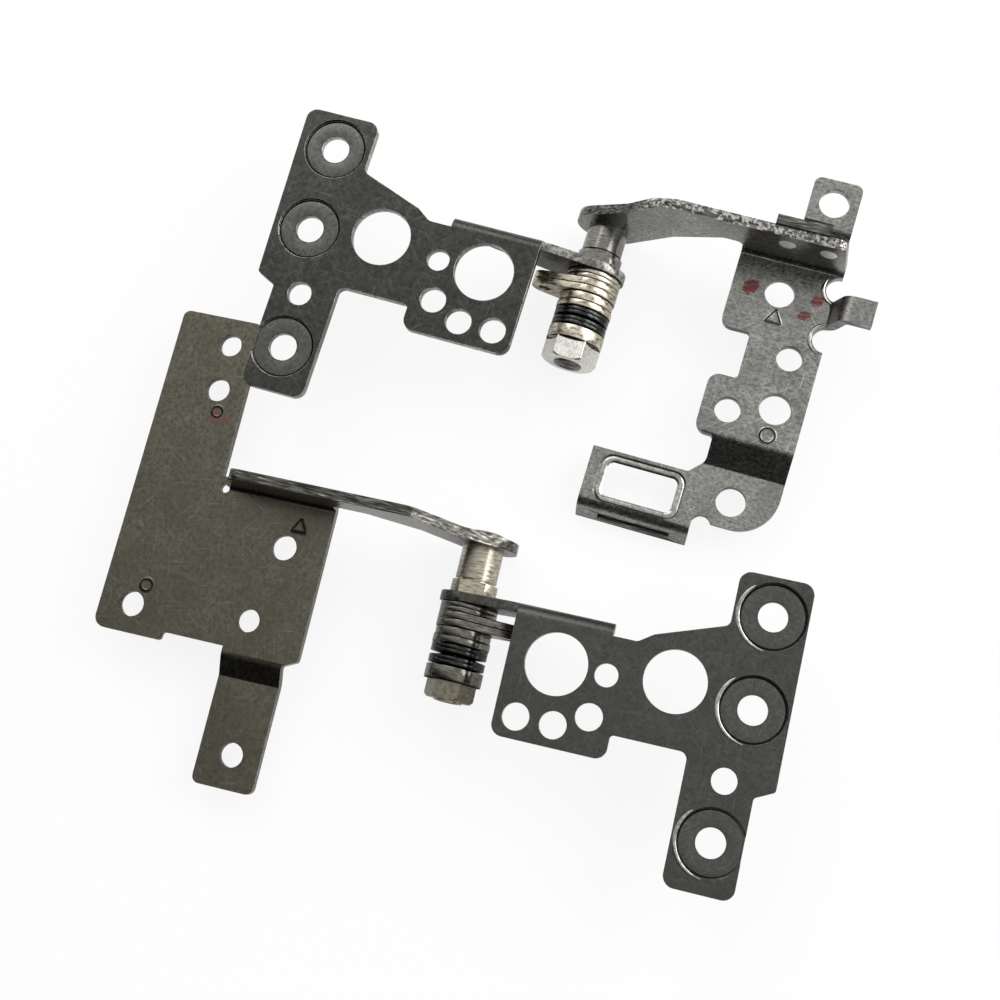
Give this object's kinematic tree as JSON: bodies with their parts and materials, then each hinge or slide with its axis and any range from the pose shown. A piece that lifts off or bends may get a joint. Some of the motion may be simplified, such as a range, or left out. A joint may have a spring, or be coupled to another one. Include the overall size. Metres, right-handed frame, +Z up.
{
  "type": "laptop hinge pair",
  "caption": "Left and right laptop screen hinges: stamped base and screen brackets on a friction shaft with washers, disc springs and a lock nut.",
  "frame": {"origin": "centre of the bounding box of both hinges in plan, on the table they lie on", "axes": "+Z up from the table, +X from the left screen bracket to the right one, +Y along the shafts from the lock nuts to the arms (each shaft is 2 degrees off it)"},
  "size_m": [0.074, 0.0766, 0.0117],
  "materials": {
    "base_steel": "dark gunmetal plating, satin",
    "left_screen_steel": "brownish gunmetal plating, satin, finely scratched",
    "right_screen_steel": "mottled grey plating, satin",
    "washer_steel": "nickel plating, semi-bright",
    "nut_steel": "nickel plating, bright",
    "rivet_steel": "zinc plating",
    "spring_steel": "black oxide"
  },
  "bodies": {
    "laid_pair": {"left_screen_bracket": "left_screen_steel", "left_hinge_shaft": "washer_steel", "left_wear_washer": "washer_steel", "left_thrust_washer": "washer_steel", "left_keyed_collar": "washer_steel", "left_keyed_washer": "washer_steel", "left_disc_spring_1": "spring_steel", "left_disc_spring_2": "spring_steel", "left_disc_spring_3": "spring_steel", "left_disc_spring_4": "spring_steel", "left_pressure_washer": "washer_steel", "left_lock_nut": "nut_steel", "right_base_bracket": "base_steel", "right_lug_washer_inner": "washer_steel", "right_lug_washer_outer": "washer_steel"},
    "left_base": {"left_base_bracket": "base_steel", "left_lug_washer_inner": "washer_steel", "left_lug_washer_outer": "washer_steel"},
    "right_screen": {"right_screen_bracket": "right_screen_steel", "right_hinge_shaft": "washer_steel", "right_wear_washer": "washer_steel", "right_thrust_washer": "washer_steel", "right_keyed_collar": "washer_steel", "right_keyed_washer": "washer_steel", "right_disc_spring_1": "spring_steel", "right_disc_spring_2": "spring_steel", "right_disc_spring_3": "spring_steel", "right_disc_spring_4": "spring_steel", "right_pressure_washer": "washer_steel", "right_lock_nut": "nut_steel", "right_cable_tab": "right_screen_steel", "right_tab_rivet_inner": "rivet_steel", "right_tab_rivet_outer": "rivet_steel"}
  },
  "joints": [
    {"name": "left_hinge", "type": "hinge", "parent": "laid_pair", "child": "left_base", "pos_m": [0.00265, -0.01758, 0.0036], "axis": [-0.0349, 0.9994, 0], "range_deg": [0, 180]},
    {"name": "right_hinge", "type": "hinge", "parent": "laid_pair", "child": "right_screen", "pos_m": [0.00594, 0.0206, 0.0036], "axis": [0.0349, 0.9994, 0], "range_deg": [0, 180]}
  ]
}
